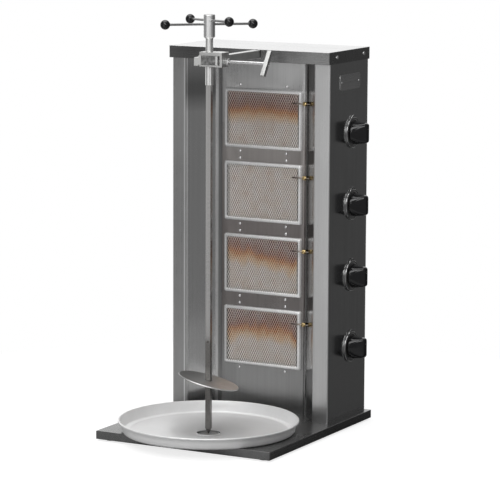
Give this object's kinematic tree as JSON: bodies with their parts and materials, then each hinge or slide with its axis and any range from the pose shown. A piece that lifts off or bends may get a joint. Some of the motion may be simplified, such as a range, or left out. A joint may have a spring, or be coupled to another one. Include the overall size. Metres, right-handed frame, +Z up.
{
  "type": "vertical rotisserie broiler",
  "caption": "Countertop upright gas broiler with stacked radiant burners, a hand-turned vertical spit on a pivot, a clamp arm and a round drip pan.",
  "frame": {"origin": "on the floor under the middle of the base tray", "axes": "+Z up, +X towards the side with the gas knobs, -Y towards the open front where the spit stands"},
  "size_m": [0.4725, 0.6219, 0.9777],
  "materials": {
    "steel_housing": "brushed",
    "steel_burner_panel": "brushed",
    "steel_trim": "bright",
    "steel_spit": "satin",
    "steel_clamp": "satin",
    "galvanised_sheet": "satin",
    "pan_aluminium": "satin",
    "cast_iron": "rough",
    "ceramic_tile": "matt",
    "mesh_wire": "satin",
    "bright_screw": "polished",
    "brass_fitting": "satin",
    "probe_steel": "satin",
    "pipe_aluminium": "satin",
    "manifold_paint": "matt",
    "knob_black": "gloss",
    "ball_black": "gloss",
    "bezel_black": "gloss",
    "plate_plain": "satin",
    "foot_rubber": "matt"
  },
  "bodies": {
    "housing": {"base_tray": "steel_housing", "left_side_panel": "steel_housing", "right_side_panel": "steel_housing", "back_panel": "steel_housing", "top_lid": "steel_housing", "burner_panel": "steel_burner_panel", "panel_sides": "steel_burner_panel", "heat_shield": "galvanised_sheet", "rubber_feet": "foot_rubber", "cover_screws": "bright_screw", "burner_body_1": "cast_iron", "burner_body_2": "cast_iron", "burner_body_3": "cast_iron", "burner_body_4": "cast_iron", "burner_frame_1": "steel_trim", "burner_frame_2": "steel_trim", "burner_frame_3": "steel_trim", "burner_frame_4": "steel_trim", "ceramic_plaques": "ceramic_tile", "mesh_guards": "mesh_wire", "thermocouple_probes": "probe_steel", "thermocouple_nuts": "brass_fitting", "thermocouple_leads": "probe_steel", "burner_screws": "bright_screw", "gas_injectors": "brass_fitting", "burner_pipes": "pipe_aluminium", "gas_manifold": "manifold_paint", "gas_inlet_fitting": "brass_fitting", "gas_valves": "brass_fitting", "knob_bezels": "bezel_black", "name_plate": "plate_plain", "pivot_post": "steel_spit", "support_arm": "steel_clamp", "clamp_yoke": "steel_clamp", "clamp_nut": "steel_clamp"},
    "drip_pan": {"drip_pan": "pan_aluminium"},
    "pivot_cup": {"pivot_cup": "steel_spit"},
    "spit": {"spit_bar": "steel_spit", "spit_journal": "steel_spit", "handle_hub": "steel_spit", "handle_rods": "steel_spit", "ball_knobs": "ball_black", "disc_pin": "steel_spit"},
    "meat_disc": {"meat_disc": "steel_spit"},
    "clamp_jaw": {"clamp_jaw": "steel_clamp"},
    "clamp_screw": {"clamp_screw": "steel_clamp", "tee_bar": "steel_clamp"},
    "valve_plunger_1": {"valve_plunger_1": "brass_fitting"},
    "knob_1": {"knob_1": "knob_black", "valve_spindle_1": "steel_spit"},
    "valve_plunger_2": {"valve_plunger_2": "brass_fitting"},
    "knob_2": {"knob_2": "knob_black", "valve_spindle_2": "steel_spit"},
    "valve_plunger_3": {"valve_plunger_3": "brass_fitting"},
    "knob_3": {"knob_3": "knob_black", "valve_spindle_3": "steel_spit"},
    "valve_plunger_4": {"valve_plunger_4": "brass_fitting"},
    "knob_4": {"knob_4": "knob_black", "valve_spindle_4": "steel_spit"}
  },
  "joints": [
    {"name": "pan_lift", "type": "slide", "parent": "housing", "child": "drip_pan", "axis": [0, 0, 1], "range_m": [0, 0.055]},
    {"name": "spit_turn", "type": "hinge", "parent": "housing", "child": "pivot_cup", "pos_m": [0, -0.132, 0.012], "axis": [0, 0, 1], "continuous": true},
    {"name": "spit_lift", "type": "slide", "parent": "pivot_cup", "child": "spit", "axis": [0, 0, 1], "range_m": [0, 0.025]},
    {"name": "disc_slide", "type": "slide", "parent": "spit", "child": "meat_disc", "axis": [0, 0, 1], "range_m": [0, 0.5]},
    {"name": "jaw_slide", "type": "slide", "parent": "housing", "child": "clamp_jaw", "axis": [1, 0, 0], "range_m": [0, 0.0024]},
    {"name": "tee_turn", "type": "hinge", "parent": "clamp_jaw", "child": "clamp_screw", "pos_m": [0.1, -0.132, 0.8716], "axis": [1, 0, 0], "range_deg": [0, 700]},
    {"name": "knob_push_1", "type": "slide", "parent": "housing", "child": "valve_plunger_1", "axis": [-1, 0, 0], "range_m": [0, 0.0045], "stiffness_N_per_m": 900, "springref_m": -0.003},
    {"name": "knob_turn_1", "type": "hinge", "parent": "valve_plunger_1", "child": "knob_1", "pos_m": [0.22, 0.179, 0.6923], "axis": [1, 0, 0], "range_deg": [0, 180]},
    {"name": "knob_push_2", "type": "slide", "parent": "housing", "child": "valve_plunger_2", "axis": [-1, 0, 0], "range_m": [0, 0.0045], "stiffness_N_per_m": 900, "springref_m": -0.003},
    {"name": "knob_turn_2", "type": "hinge", "parent": "valve_plunger_2", "child": "knob_2", "pos_m": [0.22, 0.179, 0.524], "axis": [1, 0, 0], "range_deg": [0, 180]},
    {"name": "knob_push_3", "type": "slide", "parent": "housing", "child": "valve_plunger_3", "axis": [-1, 0, 0], "range_m": [0, 0.0045], "stiffness_N_per_m": 900, "springref_m": -0.003},
    {"name": "knob_turn_3", "type": "hinge", "parent": "valve_plunger_3", "child": "knob_3", "pos_m": [0.22, 0.179, 0.3557], "axis": [1, 0, 0], "range_deg": [0, 180]},
    {"name": "knob_push_4", "type": "slide", "parent": "housing", "child": "valve_plunger_4", "axis": [-1, 0, 0], "range_m": [0, 0.0045], "stiffness_N_per_m": 900, "springref_m": -0.003},
    {"name": "knob_turn_4", "type": "hinge", "parent": "valve_plunger_4", "child": "knob_4", "pos_m": [0.22, 0.179, 0.1874], "axis": [1, 0, 0], "range_deg": [0, 180]}
  ],
  "couplings": [
    {"joint": "tee_turn", "follows": "jaw_slide", "rad_per_m": 5026.5}
  ]
}
